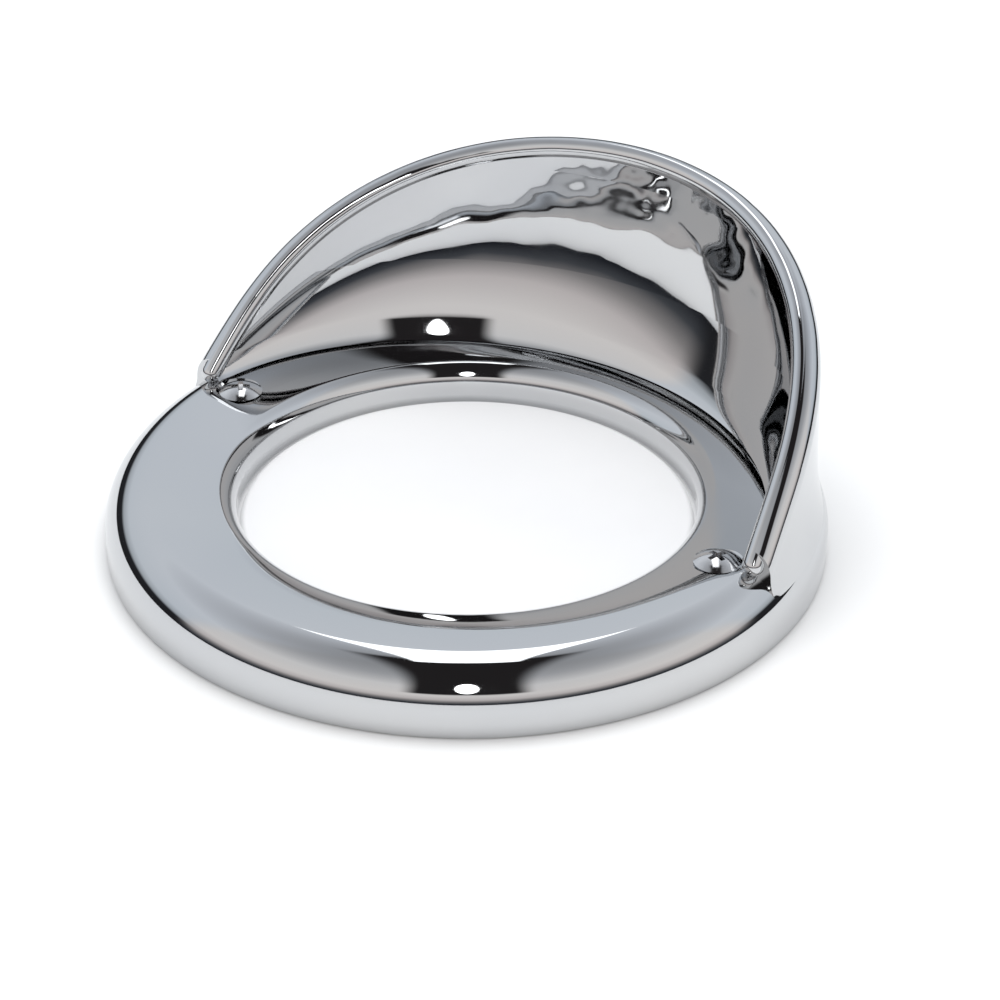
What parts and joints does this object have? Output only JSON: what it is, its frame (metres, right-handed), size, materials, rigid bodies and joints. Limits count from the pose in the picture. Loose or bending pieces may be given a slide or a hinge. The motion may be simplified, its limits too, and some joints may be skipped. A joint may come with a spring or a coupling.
{
  "type": "trailer tail light",
  "caption": "Round flange-mounted trailer tail light with an opal lens behind a chrome bezel ring that carries a raised hood, fixed by countersunk screws.",
  "frame": {"origin": "centre of the bezel ring on the panel face that the light is mounted on", "axes": "+Z out of the panel along the light, +Y towards the middle of the hood, the two fixing screws on the X axis"},
  "size_m": [0.15, 0.15, 0.1021],
  "materials": {
    "bezel_chrome": "mirror chrome plating on moulded plastic",
    "screw_steel": "polished stainless steel",
    "lens_opal": "satin opal white",
    "seal_rubber": "matt",
    "gasket_foam": "closed-cell foam",
    "diffuser_sheet": "frosted sheet",
    "reflector_white": "gloss white moulding",
    "board_green": "solder mask",
    "led_red": "clear red dome",
    "resistor_body": "lacquered",
    "component_black": "moulded package",
    "capacitor_can": "sleeved can",
    "housing_black": "fine moulded texture",
    "carrier_grey": "moulded",
    "pin_tin": "tin plated",
    "lead_white": "extruded insulation",
    "lead_brown": "extruded insulation",
    "lead_red": "extruded insulation",
    "potting_resin": "cast resin",
    "vent_grey": "membrane cap"
  },
  "bodies": {
    "root": {"bezel": "bezel_chrome", "mounting_screws": "screw_steel", "lens": "lens_opal", "lens_seal": "seal_rubber", "lamp_gasket": "gasket_foam", "diffuser": "diffuser_sheet", "reflector": "reflector_white", "circuit_board": "board_green", "tail_leds": "led_red", "stop_leds": "led_red", "resistors": "resistor_body", "blocking_diodes": "component_black", "regulator": "component_black", "capacitor": "capacitor_can", "board_screws": "screw_steel", "housing": "housing_black", "socket_shell": "housing_black", "pin_carrier": "carrier_grey", "ground_pin": "pin_tin", "tail_pin": "pin_tin", "stop_pin": "pin_tin", "ground_lead": "lead_white", "tail_lead": "lead_brown", "stop_lead": "lead_red", "potting": "potting_resin", "vent_plug": "vent_grey"}
  },
  "joints": []
}
